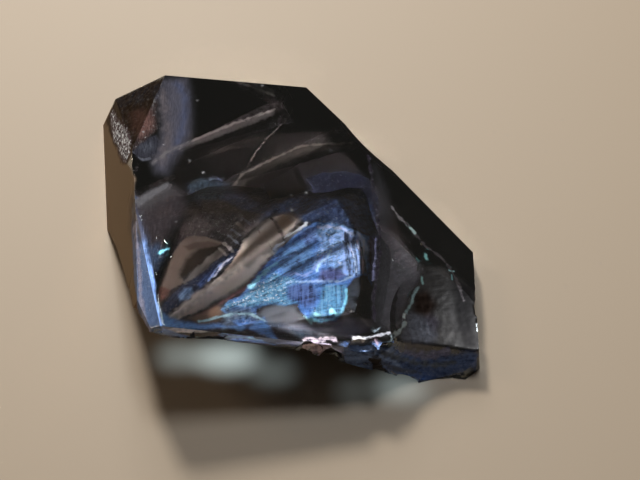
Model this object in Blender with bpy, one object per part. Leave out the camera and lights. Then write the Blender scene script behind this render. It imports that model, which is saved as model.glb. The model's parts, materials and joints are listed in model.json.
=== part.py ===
"""A broken piece of aqua aura quartz, lying on its flat base.

The piece is one solid. Its flat crystal faces are cut from a block, one plane at a time. Its
shell-like fractures are then taken away by cutters. The great one spreads out in ribs and flutes
from the corner where the blow fell, and leaves that corner hanging over the ground. Lengths are in
millimetres in the tables below, and in metres in the model. +X is to the right, +Y to the back and
+Z up.
"""

import math

import bmesh
import bpy
from mathutils import Matrix, Vector

MM = 0.001

# Colour, roughness and metallic of the coated quartz.
COAT = ((0.13, 0.13, 0.2, 1.0), 0.08, 0.0)

# The block that everything is cut from: low corner and high corner.
BLOCK_LOW = (-22.0, -16.0, 0.0)
BLOCK_HIGH = (18.0, 20.0, 14.0)

# Each flat face: the heading and elevation that it looks to, in degrees, and a point on it.
# Heading 0 is to the right and 90 to the back. Elevation 90 is straight up.
FACES = {
    "top": (11.3, 78.5, (-11.84, -9.82, 8.2)),
    "right_top": (11.0, 76.0, (3.9, -2.5, 4.75)),
    "right_bevel": (14.0, 66.4, (5.42, 2.45, 4.27)),
    "left": (186.0, 20.0, (-16.66, 3.66, 0.0)),
    "left_corner": (203.0, 20.0, (-12.9, -6.9, 7.2)),
    "left_bevel": (194.9, 62.0, (-13.57, 0.98, 8.11)),
    "corner_chip": (158.4, 50.2, (-17.5, 13.4, 2.8)),
    "back": (91.5, 4.0, (-6.0, 12.98, 6.0)),
    "back_right": (43.0, 7.0, (9.19, 2.62, 2.6)),
    "right": (0.0, 6.0, (11.5, -0.65, 3.0)),
    "front_corner": (308.0, 12.0, (11.2, -9.2, 0.0)),
    "front": (269.0, 3.0, (-5.6, -9.35, 6.5)),
}

# The great fracture: the point struck, and for each heading from it how far the shell reaches
# before it meets the ground, then its height at one, two and three quarters and nine tenths of
# the way.
STRIKE = (-12.2, -9.7, 7.3)
SHELL = (
    (-20, 20.0, 6.3, 5.3, 2.5, 1.1),
    (4, 20.0, 6.3, 5.3, 2.9, 1.5),
    (12, 16.5, 5.3, 4.75, 4.4, 4.1),
    (33, 20.0, 5.1, 4.5, 4.2, 3.8),
    (45, 21.0, 5.7, 4.7, 3.8, 2.4),
    (60, 17.5, 6.3, 5.2, 3.9, 1.9),
    (82, 14.4, 6.5, 5.5, 4.3, 2.3),
    (98, 14.0, 6.4, 5.2, 3.7, 1.9),
    (107, 14.0, 6.2, 4.5, 2.6, 1.1),
    (215, 14.0, 6.2, 4.5, 2.6, 1.1),
)
SHARES = (0.0, 0.25, 0.5, 0.75, 0.9, 1.0, 1.15)
BELOW_GROUND = -2.5
SHELL_RINGS = 46
SHELL_SPOKE = 2.35

# Flutes run out from the point struck: at each heading, the share of the full flute height.
FLUTES = (
    (-20, 0.3), (0, 0.2), (14, 0.6), (18, 0.4), (31, 0.7), (35, 0.0), (47, 1.0), (52, -0.1),
    (56, 0.6), (60, 0.1), (80, 1.0), (86, 0.0), (103, 0.9), (108, 0.2), (130, 0.4), (215, 0.5),
)
FLUTE_RISE = 0.07
RIBS = 9
RIB_HEIGHT = 0.015

# Scoops: the centre and radii of the ball that takes each away, and how finely it is rounded.
SCOOPS = {
    "lobe": ((11.6, -6.6, 11.7), (9.9, 11.5, 9.4), 5),
    "wall": ((9.5, -14.6, 5.6), (8.0, 6.9, 8.4), 4),
    "left_edge": ((-13.9, 4.2, 9.2), (1.5, 1.7, 1.5), 2),
    "back_hollow": ((14.7, 18.8, 4.0), (15.5, 15.5, 15.5), 5),
    "back_notch": ((3.8, 9.2, 4.6), (0.5, 1.2, 1.4), 2),
    "right_notch": ((12.5, -4.4, 1.6), (1.1, 2.4, 3.6), 3),
    "front_chip": ((-0.7, -10.4, 5.2), (1.5, 1.6, 1.3), 1),
    "front_nick": ((0.8, -10.5, 4.1), (1.3, 1.5, 1.9), 1),
    "ridge_chip": ((3.0, -9.9, 5.3), (1.4, 1.3, 0.9), 1),
    "ridge_nick": ((4.8, -9.6, 4.6), (1.2, 1.0, 0.6), 1),
}
SCOOP_TURN = 27.0

# Growth furrows in the base: from one point, where each is deepest, to the point where it dies
# out, with its greatest depth.
FURROWS = {
    "back": ((-3.2, 12.9), (-12.6, 8.0), 0.3),
    "middle": ((3.4, 11.3), (-8.4, 5.5), 0.35),
    "left": ((-15.4, 3.1), (-11.9, 6.1), 0.25),
}
FURROW_WIDENING = 4.0


def looking(heading, elevation):
    """The unit vector that looks to a heading and an elevation in degrees."""
    h, e = math.radians(heading), math.radians(elevation)
    return Vector((math.cos(h) * math.cos(e), math.sin(h) * math.cos(e), math.sin(e)))


def between(rows, x):
    """The row at x, by straight lines between the rows of a table whose first column is x."""
    for low, high in zip(rows, rows[1:]):
        if x <= high[0]:
            share = max(0.0, (x - low[0]) / (high[0] - low[0]))
            return [a + (b - a) * share for a, b in zip(low, high)]
    return list(rows[-1])


def new_collection(name):
    made = bpy.data.collections.new(name)
    bpy.context.scene.collection.children.link(made)
    return made


def finish(body, name, collection):
    """Turns a bmesh into an object with its faces looking out."""
    bmesh.ops.recalc_face_normals(body, faces=body.faces)
    mesh = bpy.data.meshes.new(name)
    body.to_mesh(mesh)
    body.free()
    made = bpy.data.objects.new(name, mesh)
    collection.objects.link(made)
    return made


def block():
    """The uncut block, as a bmesh."""
    low, high = Vector(BLOCK_LOW) * MM, Vector(BLOCK_HIGH) * MM
    body = bmesh.new()
    place = Matrix.Translation((low + high) / 2) @ Matrix.Diagonal((*(high - low), 1))
    bmesh.ops.create_cube(body, size=1, matrix=place)
    return body


def cut_flat(body, heading, elevation, point):
    """Takes away what lies outside one plane, and closes the cut with a flat face."""
    cut = bmesh.ops.bisect_plane(
        body,
        geom=body.verts[:] + body.edges[:] + body.faces[:],
        plane_co=Vector(point) * MM,
        plane_no=looking(heading, elevation),
        clear_outer=True,
    )
    rim = [e for e in cut["geom_cut"] if isinstance(e, bmesh.types.BMEdge)]
    if rim:
        bmesh.ops.contextual_create(body, geom=rim)


def shell_height(heading, share):
    """How high the great fracture lies at a heading and a share of its reach, and that reach."""
    _, reach, quarter, half, three_quarters, nine_tenths = between(SHELL, heading)
    heights = (STRIKE[2], quarter, half, three_quarters, nine_tenths, 0.0, BELOW_GROUND)
    height = between(list(zip(SHARES, heights)), share)[1]
    fade = min(1.0, share * 3)
    height += FLUTE_RISE * share * reach * (between(FLUTES, heading)[1] - 0.5) * fade
    height += RIB_HEIGHT * math.sin(2 * math.pi * RIBS * share) * fade
    return height, reach


def shell_cutter(collection):
    """What lies under the great fracture: a line of points turned about the point struck."""
    first, last = SHELL[0][0], SHELL[-1][0]
    spokes = round((last - first) / SHELL_SPOKE)
    shares = [SHARES[-1] * ring / SHELL_RINGS for ring in range(SHELL_RINGS + 1)]
    body = bmesh.new()
    line = [body.verts.new((share, 0, 0)) for share in shares]
    edges = [body.edges.new(pair) for pair in zip(line, line[1:])]
    start = Matrix.Rotation(math.radians(first), 4, "Z")
    bmesh.ops.transform(body, verts=line, matrix=start)
    bmesh.ops.spin(
        body,
        geom=line + edges,
        cent=(0, 0, 0),
        axis=(0, 0, 1),
        angle=math.radians(last - first),
        steps=spokes,
    )
    bmesh.ops.remove_doubles(body, verts=body.verts, dist=1e-5)
    for vert in body.verts:
        share = math.hypot(vert.co.x, vert.co.y)
        heading = math.degrees(math.atan2(vert.co.y, vert.co.x)) if share else first
        height, reach = shell_height(heading, share)
        vert.co = Vector((vert.co.x * reach, vert.co.y * reach, height)) * MM
    skirt = bmesh.ops.extrude_face_region(body, geom=body.faces[:])["geom"]
    for vert in skirt:
        if isinstance(vert, bmesh.types.BMVert):
            vert.co.z = -9 * MM
    place = Matrix.Translation((STRIKE[0] * MM, STRIKE[1] * MM, 0))
    bmesh.ops.transform(body, verts=body.verts, matrix=place)
    return finish(body, "great_fracture_cutter", collection)


def scoop_cutter(name, centre, radii, rounding, collection):
    body = bmesh.new()
    place = (
        Matrix.Translation(Vector(centre) * MM)
        @ Matrix.Diagonal((*(Vector(radii) * MM), 1))
        @ Matrix.Rotation(math.radians(SCOOP_TURN), 4, "X")
        @ Matrix.Rotation(math.radians(SCOOP_TURN), 4, "Z")
    )
    bmesh.ops.create_icosphere(body, subdivisions=rounding, radius=1, matrix=place)
    return finish(body, name + "_cutter", collection)


def furrow_cutter(name, deep_end, shallow_end, depth, collection):
    """A long four-sided point along the base, with one of its edges up in the crystal."""
    deep_end, shallow_end = Vector((*deep_end, 0)) * MM, Vector((*shallow_end, 0)) * MM
    run = shallow_end - deep_end
    body = bmesh.new()
    place = (
        Matrix.Translation((deep_end + shallow_end) / 2)
        @ Matrix.Rotation(math.atan2(run.y, run.x), 4, "Z")
        @ Matrix.Diagonal((1, FURROW_WIDENING, 1, 1))
        @ Matrix.Rotation(math.pi / 2, 4, "Y")
    )
    bmesh.ops.create_cone(
        body,
        cap_ends=True,
        segments=4,
        radius1=depth * MM,
        radius2=depth * MM / 10,
        depth=run.length,
        matrix=place,
    )
    return finish(body, name + "_furrow_cutter", collection)


def take_away(crystal, cutter):
    cutter.hide_render = True
    cutter.display_type = "WIRE"
    cut = crystal.modifiers.new(cutter.name, "BOOLEAN")
    cut.object = cutter
    cut.operation = "DIFFERENCE"
    cut.solver = "EXACT"


def centre_on_base(crystal, cutters):
    """Moves everything so that the middle of the crystal's box stands over the origin."""
    bpy.context.view_layer.update()
    solid = crystal.evaluated_get(bpy.context.evaluated_depsgraph_get())
    corners = [Vector(corner) for corner in solid.bound_box]
    middle = sum(corners, Vector()) / len(corners)
    for obj in (crystal, *cutters.objects):
        obj.location = (-middle.x, -middle.y, 0)


def coat(crystal):
    material = bpy.data.materials.new("coated_quartz")
    material.use_nodes = True
    shader = material.node_tree.nodes["Principled BSDF"]
    for socket, value in zip(("Base Color", "Roughness", "Metallic"), COAT):
        shader.inputs[socket].default_value = value
    material.diffuse_color = COAT[0]
    crystal.data.materials.append(material)


def main():
    for obj in list(bpy.data.objects):
        bpy.data.objects.remove(obj)
    body = block()
    for heading, elevation, point in FACES.values():
        cut_flat(body, heading, elevation, point)
    crystal = finish(body, "crystal", new_collection("aqua_aura_quartz"))
    cutters = new_collection("cutters")
    take_away(crystal, shell_cutter(cutters))
    for name, (centre, radii, rounding) in SCOOPS.items():
        take_away(crystal, scoop_cutter(name, centre, radii, rounding, cutters))
    for name, (deep_end, shallow_end, depth) in FURROWS.items():
        take_away(crystal, furrow_cutter(name, deep_end, shallow_end, depth, cutters))
    centre_on_base(crystal, cutters)
    coat(crystal)


main()
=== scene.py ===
import json
import math
from collections import namedtuple

import bmesh
import bpy
import numpy as np
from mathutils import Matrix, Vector, noise

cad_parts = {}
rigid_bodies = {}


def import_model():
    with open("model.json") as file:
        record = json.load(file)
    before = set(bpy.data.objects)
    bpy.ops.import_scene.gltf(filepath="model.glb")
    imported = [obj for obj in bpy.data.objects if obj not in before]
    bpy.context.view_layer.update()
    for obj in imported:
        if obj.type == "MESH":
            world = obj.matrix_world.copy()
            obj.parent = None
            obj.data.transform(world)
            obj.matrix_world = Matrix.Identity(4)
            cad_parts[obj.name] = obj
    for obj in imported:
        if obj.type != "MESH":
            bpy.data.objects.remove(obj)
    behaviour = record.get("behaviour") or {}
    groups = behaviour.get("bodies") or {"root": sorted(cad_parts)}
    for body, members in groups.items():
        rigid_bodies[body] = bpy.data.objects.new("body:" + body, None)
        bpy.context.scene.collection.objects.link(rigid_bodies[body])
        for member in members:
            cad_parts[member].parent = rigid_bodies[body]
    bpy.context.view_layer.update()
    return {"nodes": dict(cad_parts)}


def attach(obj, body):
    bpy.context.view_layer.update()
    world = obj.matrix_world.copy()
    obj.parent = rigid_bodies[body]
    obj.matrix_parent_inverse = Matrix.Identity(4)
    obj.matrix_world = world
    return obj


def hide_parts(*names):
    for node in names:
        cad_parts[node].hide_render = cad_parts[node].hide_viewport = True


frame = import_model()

# ---------------------------------------------------------------------------------------------
# The crystal: one broken piece of clear quartz. Its flat faces are its own growth faces, and the
# rest is broken surface. A metallic film a fraction of a micrometre thick, laid on in a vacuum,
# covers all of it and gives the blue and lavender colours. Patches of the film's colour also paint
# glints, highlights, the floor seen through the crystal, and shade onto it.
# ---------------------------------------------------------------------------------------------

MM = 0.001
crystal = frame["nodes"]["crystal"].copy()
crystal.data = crystal.data.copy()
crystal.name = "coated_quartz"
for key in list(crystal.keys()):
    del crystal[key]
crystal.parent = None
bpy.context.scene.collection.objects.link(crystal)

for other in bpy.data.objects:
    other.select_set(False)
bpy.context.view_layer.objects.active = crystal
crystal.select_set(True)
bpy.ops.object.mode_set(mode="EDIT")
bpy.ops.mesh.select_all(action="SELECT")
bpy.ops.mesh.remove_doubles(threshold=1e-6)
bpy.ops.mesh.normals_make_consistent(inside=False)

# Growth faces are flat over a wide area, and what is left is broken surface. The base is the
# growth face that looks straight down.
LEAST_FLAT_AREA = 5.0
LOOKS_DOWN, STRAIGHT_DOWN = -0.5, -0.995
ROUGH_CHIP = Vector((-0.60, 0.24, 0.77))
SAME_WAY = 0.99
GROWTH, BASE, BROKEN = 0, 1, 2
body = bmesh.from_edit_mesh(crystal.data)
body.normal_update()
kind = body.faces.layers.int.new("kind")
planes = {}
for face in body.faces:
    offset = face.normal.dot(face.calc_center_median()) / MM
    plane = (*(round(c, 2) for c in face.normal), round(offset, 1))
    planes.setdefault(plane, []).append(face)
for plane, faces in planes.items():
    flat = sum(face.calc_area() for face in faces) > LEAST_FLAT_AREA * MM * MM
    flat = flat and plane[2] > LOOKS_DOWN or plane[2] < STRAIGHT_DOWN
    flat = flat and Vector(plane[:3]).dot(ROUGH_CHIP) < SAME_WAY
    for face in faces:
        face[kind] = (BASE if plane[2] < STRAIGHT_DOWN else GROWTH) if flat else BROKEN

# The longest edge that each kind of surface may have, in millimetres, so that it can take its
# relief and its finish, and the longest one at the edge of a patch that fades over a short way.
FINE = {GROWTH: 0.50, BASE: 0.40, BROKEN: 0.19}
AT_EDGE = 0.17
ROUNDS = 7
NEARLY_COPLANAR = 6
LOOKS_UP = 0.15

# Each patch of the surface: the side that it lies on, how far its edge fades in millimetres, its
# colour, its film, its roughness, its grain, and its outline on the plan in millimetres. Under the
# crystal the film value is how metallic the film is. On the upper side it is the share of film on
# the clear face. A patch may have fine straight lines and sparkle, which is painted glints, and
# one with a width is a line. Many patches paint light and shade into the colour: highlights along
# edges and ridges, glints, reflections, the shaded floor seen through the crystal, and dark shade.
Patch = namedtuple(
    "Patch", "side soft paint metal rough grain outline lines sparkle wide", defaults=(0, 0, 0)
)
UNDER, OVER = 0, 1
SHORT_FADE = {UNDER: 0.5, OVER: 0.95}
PATCHES = {
    # This fade and growth_step_2_fade are painted shade: near-black film that darkens the base
    # round the growth steps.
    "growth_step_1_fade": Patch(UNDER, 1.6, (0.003, 0.002, 0.002), 1, 0.45, 0.2, (
        (-8.7, 6.4), (-6.9, 7.5), (-3.9, 9), (-1.5, 10.3), (-1.7, 9.3), (-3.9, 7.9), (-6.2, 6.6),
        (-8.4, 5.2), (-9.1, 5.1),
    )),
    "top_shade_2": Patch(UNDER, 0.9, (0.0035, 0.0032, 0.0035), 1, 0.14, 0.2, (
        (-7.3, 5.2), (-4.5, 6.9), (-0.3, 8.6), (3.3, 9.6), (0.9, 7.8), (-2.1, 6.3), (-4.1, 5),
        (-5.2, 3.7), (-6.9, 3.8),
    )),
    "growth_step_1": Patch(UNDER, 0.2, (0.136, 0.13, 0.13), 1, 0.45, 0.3, (
        (-8.9, 6.9), (-7.1, 8), (-3.9, 9.6), (-1.1, 10.9), (-1.2, 10.4), (-3.8, 9), (-6.8, 7.5),
        (-8.6, 6.5),
    )),
    "growth_core_1": Patch(UNDER, 0.15, (0.34, 0.32, 0.32), 1, 0.45, 0.2, (
        (-8.76, 7.01), (-7.06, 8), (-3.92, 9.69), (-1.19, 10.92),
    ), wide=0.1),
    # Painted shade: near-black film that darkens the base round the second growth step.
    "growth_step_2_fade": Patch(UNDER, 2.2, (0.004, 0.003, 0.003), 1, 0.45, 0.2, (
        (-4.1, 3.9), (-1.4, 5.5), (0.9, 6.9), (4.1, 8.3), (4.3, 7.5), (2.4, 6), (0.3, 4.5),
        (-2, 3.5), (-3.2, 2.4),
    )),
    "top_shade": Patch(UNDER, 0.9, (0.0035, 0.0032, 0.0035), 1, 0.14, 0.2, (
        (-2, 3.7), (0.9, 6), (4.4, 7.4), (5.8, 6), (6.6, 3.8), (4.5, 4.6), (2.5, 4.3), (0.4, 2.2),
        (-1.3, 1.8),
    )),
    "growth_step_2": Patch(UNDER, 0.25, (0.04, 0.036, 0.033), 1, 0.45, 0.3, (
        (-4.6, 3.3), (-3.8, 4.6), (-1.4, 6.1), (0.9, 7.5), (5.1, 7.9), (5.2, 7.8), (1.2, 6.8),
        (-1.3, 5.4), (-3.3, 4.1), (-3.9, 2.8),
    )),
    "growth_core_2": Patch(UNDER, 0.15, (0.16, 0.145, 0.135), 1, 0.45, 0.2, (
        (-4.36, 3.48), (-3.71, 4.67), (-1.45, 6.15), (0.92, 7.6), (4.96, 8.09),
    ), wide=0.09),
    "growth_step_3_fade": Patch(UNDER, 1.4, (0.015, 0.012, 0.012), 1, 0.45, 0.3, (
        (-11.2, 0.9), (-9.5, 3.1), (-8.7, 3), (-7.3, 0.9), (-8.6, 0.5), (-10, -0.6), (-10.7, -0.6),
    )),
    "growth_step_3": Patch(UNDER, 0.2, (0.16, 0.15, 0.15), 1, 0.45, 0.3, (
        (-10.2, 1.7), (-10.7, 2.7), (-9.5, 3.6), (-9.1, 3.5), (-9.4, 3), (-10.4, 2), (-11.2, 0.6),
    )),
    "hairline": Patch(UNDER, 0.06, (0.07, 0.062, 0.058), 1, 0.4, 0.2, (
        (0.33, 11.29), (-0.38, 9.88), (-1.8, 8.17), (-2.59, 6.89), (-3.33, 5.45),
    ), wide=0.04),
    "haze_mid": Patch(UNDER, 1, (0.03, 0.05, 0.117), 0.95, 0.45, 1, (
        (-7.7, 3.4), (-5.7, 4), (-4.3, 3.2), (-2.7, 1.6), (-1.1, 1), (0.4, 1.8), (2.5, 4),
        (4.5, 4.6), (6.2, 3.8), (6.5, 0.8), (4.7, -0.6), (1.7, -0.7), (-0.6, 0.1), (-3.2, -1.2),
        (-5.1, -0.5), (-6.3, 0.5),
    ), sparkle=0.8),
    "rim_shade": Patch(UNDER, 0.6, (0.012, 0.016, 0.034), 1, 0.45, 0.8, (
        (1.4, 4.6), (2.5, 5.1), (4.5, 5.4), (6.3, 4.9), (7, 3.1), (7, 1.5), (6.4, 1.5), (6.1, 3),
        (4.9, 3.2), (2.4, 3.1),
    ), sparkle=0.4),
    "blue_haze": Patch(UNDER, 0.6, (0.06, 0.108, 0.255), 0.95, 0.45, 1, (
        (-1.6, -0.9), (-1, 0.6), (0.4, 1.8), (2.7, 2.3), (4.6, 2.3), (6.2, 2.3), (6.5, 0.8),
        (6.8, -0.6), (5.8, -1), (4.7, -0.6), (3.2, -0.4), (1.7, -0.7), (0.5, 0.3), (-0.6, 0.1),
    ), sparkle=0.7),
    "left_fan": Patch(UNDER, 0.8, (0.072, 0.056, 0.056), 0.95, 0.45, 0.6, (
        (-10.9, -0.1), (-8.4, 0.8), (-6.2, -0.2), (-5, -1.5), (-5.7, -2.6), (-7.5, -2.8),
        (-8.5, -4.1), (-9.5, -3.6), (-10.2, -2.1),
    ), sparkle=0.5),
    "right_base": Patch(UNDER, 0.9, (0.051, 0.051, 0.06), 1, 0.4, 0.8, (
        (7.1, 0.3), (8.3, -0.5), (10, -2.5), (9.7, -5.2), (9.1, -6.9), (8.7, -9.4), (6.8, -8.6),
        (7, -3.8),
    ), sparkle=0.4),
    "ladder": Patch(UNDER, 0.5, (0.048, 0.04, 0.04), 0.95, 0.4, 1, (
        (-6.7, 2.5), (-5.4, 1.7), (-3.3, 0.5), (-1.6, -0.2), (-2.4, -1.4), (-3.1, -2.4),
        (-4, -2.6), (-5.2, -1.6), (-6.1, -0.1),
    ), sparkle=0.6),
    # The petals paint the shaded floor seen through the crystal into the film's colour: tan, with
    # darker and lighter streaks.
    "petal_1": Patch(UNDER, 0.15, (0.135, 0.105, 0.09), 1, 0.45, 0.1, (
        (-8.7, -8), (-8.9, -7.2), (-8.6, -6.6), (-8.4, -5.9), (-8.1, -5.2), (-7.9, -4.5),
        (-7.6, -3.8), (-7.3, -3.2), (-6.9, -2.8), (-6.3, -2.6), (-5.7, -2.6), (-5.1, -2.8),
        (-4.4, -3), (-5, -3.5), (-5.7, -4.1), (-6.3, -4.7), (-6.8, -5.5), (-7.2, -6.3),
        (-6.9, -6.9), (-7.4, -7.3), (-7.9, -7.7), (-8.5, -8.2),
    )),
    "petal_1_dark": Patch(UNDER, 0.5, (0.022, 0.014, 0.01), 1, 0.5, 0.1, (
        (-7, -5.1), (-6.6, -4.3), (-6, -3.7), (-5, -3.3), (-4.4, -3.2), (-4.8, -4), (-5.5, -4.6),
        (-5.9, -5.2), (-6.3, -5.7), (-6.8, -6.3), (-7.2, -6.5), (-7.2, -5.8),
    )),
    "petal_1_streak": Patch(UNDER, 0.25, (0.09, 0.06, 0.048), 1, 0.5, 0.1, (
        (-7.2, -3.7), (-6.3, -3.2), (-5.3, -3), (-4.4, -3.1), (-5, -3.4), (-6, -3.7), (-6.8, -4),
    )),
    "petal_1_rust": Patch(UNDER, 0.3, (0.12, 0.055, 0.04), 1, 0.5, 0.5, (
        (-8.8, -7.8), (-8.5, -7.4), (-7.8, -7.6), (-8, -8.2), (-8.4, -8.8), (-8.6, -8.5),
    ), sparkle=0.3),
    "petal_2": Patch(UNDER, 0.12, (0.13, 0.118, 0.11), 1, 0.4, 0.1, (
        (-7, -6.9), (-6.5, -6), (-5.9, -5.2), (-5.4, -4.5), (-4.9, -3.9), (-4.5, -3.5),
        (-4.1, -3.7), (-4.3, -4.2), (-4.9, -4.9), (-5.3, -5.5), (-5.8, -6), (-6.3, -6.5),
        (-6.8, -7.1),
    )),
    "dark_band": Patch(UNDER, 0.2, (0.017, 0.025, 0.06), 0.95, 0.4, 0.8, (
        (-8.3, -10.4), (-8.2, -10), (-8.4, -9.3), (-8, -8.6), (-7.6, -7.9), (-7.1, -7.3),
        (-6.5, -6.7), (-6, -6.2), (-5.5, -5.7), (-5, -5), (-4.3, -4.3), (-3.8, -3.9), (-3.3, -3.5),
        (-3.5, -4.4), (-4.1, -5.1), (-4.7, -6), (-5.3, -6.8), (-5.9, -7.5), (-6.5, -8.2),
        (-7, -8.7), (-7.6, -9.2), (-7.9, -10),
    ), sparkle=0.4),
    "band_blue": Patch(UNDER, 0.3, (0.044, 0.08, 0.208), 1, 0.4, 0.9, (
        (-6, -6.9), (-5.6, -6.2), (-5, -5.4), (-4.3, -4.6), (-3.7, -4), (-3.5, -4.4), (-4.1, -5),
        (-4.6, -5.7), (-5.2, -6.5), (-5.8, -7.1),
    ), sparkle=0.6),
    "band_patch": Patch(UNDER, 0.3, (0.2, 0.32, 0.55), 1, 0.45, 0.8, (
        (-7.2, -8), (-6.8, -7.4), (-6.4, -7.3), (-6.3, -7.6), (-6.6, -8.2), (-7.1, -8.5),
    ), sparkle=0.5),
    # The band streaks are painted highlights: light streaks across the blue band.
    "band_highlight": Patch(UNDER, 0.08, (0.75, 0.8, 1), 1, 0.4, 0.3, (
        (-4.89, -6.19), (-4.5, -5.42), (-4.18, -4.77), (-3.7, -4.28),
    ), wide=0.07),
    "band_highlight_2": Patch(UNDER, 0.08, (0.35, 0.5, 0.95), 1, 0.4, 0.3, (
        (-5.23, -6.56), (-4.85, -5.65), (-4.38, -4.89),
    ), wide=0.05),
    "hackle_1": Patch(UNDER, 0.1, (0.34, 0.32, 0.31), 0.9, 0.45, 0.6, (
        (-3.44, -0.98), (-2.85, -1.68),
    ), sparkle=0.4, wide=0.13),
    "hackle_2": Patch(UNDER, 0.1, (0.16, 0.18, 0.24), 0.9, 0.45, 0.6, (
        (-3.02, -0.53), (-2.5, -1.19),
    ), sparkle=0.4, wide=0.08),
    "hackle_3": Patch(UNDER, 0.1, (0.34, 0.32, 0.31), 0.9, 0.45, 0.6, (
        (-4.26, -3.07), (-3.64, -3.76),
    ), sparkle=0.4, wide=0.13),
    "hackle_4": Patch(UNDER, 0.1, (0.34, 0.32, 0.31), 0.9, 0.45, 0.6, (
        (-4.6, -3.57), (-4.11, -4.13),
    ), sparkle=0.4, wide=0.08),
    "hackle_5": Patch(UNDER, 0.1, (0.16, 0.18, 0.24), 0.9, 0.45, 0.6, (
        (-4.02, -2.27), (-3.29, -3.03),
    ), sparkle=0.4, wide=0.08),
    "hackle_6": Patch(UNDER, 0.1, (0.16, 0.18, 0.24), 0.9, 0.45, 0.6, (
        (-3.77, -1.67), (-3.11, -2.29),
    ), sparkle=0.4, wide=0.08),
    # petal_3 and its top, low and crest patches paint the floor seen through the break as light
    # tan, with a lighter painted highlight along the crest.
    "petal_3": Patch(UNDER, 0.1, (0.977, 0.874, 0.805), 1, 0.65, 0.08, (
        (-8, -10.4), (-7.5, -9.6), (-6.9, -8.9), (-6.2, -8.2), (-5.4, -7.4), (-4.8, -6.6),
        (-4.1, -5.6), (-3.6, -4.6), (-3.2, -3.6), (-2.9, -2.8), (-2.4, -1.9), (-1.9, -1.3),
        (-1.3, -0.6), (-0.8, -0.2), (-0.1, 0.1), (0.6, -0.1), (1.1, -0.5), (0.8, -1.3),
        (0.2, -1.8), (-0, -2.4), (-0.5, -3), (-0.8, -3.6), (-1.4, -4.3), (-1.8, -5.1),
        (-2.4, -5.9), (-3.1, -6.6), (-3.9, -7.3), (-4.8, -8), (-5.3, -8.6), (-6, -9.2), (-7, -9.8),
    )),
    "petal_3_top": Patch(UNDER, 0.8, (0.287, 0.259, 0.241), 1, 0.55, 0.05, (
        (-3.3, -4.8), (-2.7, -3.2), (-2.7, -2.1), (-1.9, -1.1), (-0.8, -0), (0.5, 0.3),
        (1.3, -0.5), (0.6, -1.8), (-0.1, -3.1), (-1, -4.2), (-2, -5.4),
    )),
    "petal_3_low": Patch(UNDER, 0.5, (1, 0.92, 0.86), 1, 0.6, 0.05, (
        (-5.4, -8.1), (-4.2, -7.2), (-3, -5.9), (-2, -4.6), (-1.3, -3.6), (-0.7, -3.1),
        (-0.4, -3.4), (-1.1, -4.5), (-2, -5.7), (-3, -6.7), (-4.1, -7.6), (-5.3, -8.5),
    )),
    "petal_3_crest": Patch(UNDER, 0.45, (0.4, 0.36, 0.34), 1, 0.65, 0.05, (
        (-7.52, -9.88), (-6.11, -8.14), (-4.42, -6.38), (-3.11, -5.05), (-1.63, -3.87),
        (-0.04, -2.81), (1.34, -1.36),
    ), wide=0.22),
    "petal_3_rim": Patch(UNDER, 0.2, (0.16, 0.075, 0.085), 0.9, 0.45, 0.3, (
        (-0.7, -3.96), (-1.28, -4.82), (-1.78, -5.61), (-2.42, -6.39), (-3.25, -7.22),
        (-4.15, -7.96), (-5.04, -8.8), (-5.89, -9.52),
    ), wide=0.14),
    "petal_3_shade": Patch(UNDER, 0.25, (0.28, 0.23, 0.19), 1, 0.4, 0.2, (
        (0.8, -0.9), (0.2, -1.7), (-0.4, -0.8), (0, 0.1),
    )),
    "petal_3_crack": Patch(UNDER, 0.08, (0.03, 0.02, 0.02), 0.9, 0.3, 0, (
        (-0.84, -0.36), (-0.22, -1.58), (0.32, -2.91),
    ), wide=0.13),
    "petal_3_crack_2": Patch(UNDER, 0.06, (0.08, 0.05, 0.04), 0.8, 0.3, 0, (
        (-1.84, -1.59), (-1.15, -2.67), (-0.62, -3.55),
    ), wide=0.05),
    "brown_foot": Patch(UNDER, 0.5, (0.11, 0.07, 0.05), 1, 0.4, 0.2, (
        (-6.4, -9.7), (-5.4, -8.8), (-4.6, -8.3), (-4, -8.7), (-4.4, -9.5), (-5.7, -10.1),
    )),
    "blue": Patch(UNDER, 0.15, (0.11, 0.28, 0.72), 1, 0.42, 1, (
        (-4.3, -8.7), (-3.8, -7.9), (-3, -7.5), (-2.4, -6.4), (-1.7, -5.4), (-1, -4.5),
        (-0.4, -3.6), (0.2, -2.9), (0.8, -2.1), (1.6, -1.2), (2.5, -0.6), (3.9, -0.4), (5, -0.8),
        (6.1, -1.1), (7, -0.5), (7, -2.3), (6.7, -4.5), (6.5, -5.5), (6.3, -4.8), (5.8, -5),
        (5.2, -5.5), (4.7, -6.2), (4.7, -7.2), (4.4, -8.3), (3.8, -8.9), (2.8, -9.2), (2, -9.1),
        (1.5, -8.5), (1.2, -7.8), (0.3, -7.9), (-0.8, -8), (-1.8, -8.3), (-1.8, -9.5),
        (-2.9, -9.9), (-3.4, -9.7), (-3.9, -9),
    ), sparkle=0.9),
    "blue_slate": Patch(UNDER, 0.7, (0.119, 0.274, 0.561), 1, 0.42, 1, (
        (-0.5, -3.6), (0.6, -2.8), (1.5, -2.2), (2.1, -2.6), (2.3, -4.2), (1.6, -5.2), (0.7, -5.6),
        (-0.3, -4.8),
    ), sparkle=0.5),
    "blue_slate_2": Patch(UNDER, 0.5, (0.096, 0.168, 0.408), 1, 0.42, 1, (
        (0.4, -6.4), (1.4, -6.1), (2.3, -6.1), (2.6, -6.8), (2.4, -7.8), (1.8, -8.1), (1.2, -7.7),
        (0.4, -7.6),
    ), lines=0.8, sparkle=0.3),
    "slate_top": Patch(UNDER, 0.5, (0.156, 0.28, 0.63), 1, 0.42, 1, (
        (1.2, -1.7), (1.9, -1.1), (2.7, -1.1), (2.5, -2.2), (1.8, -2.8),
    ), sparkle=0.6),
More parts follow.
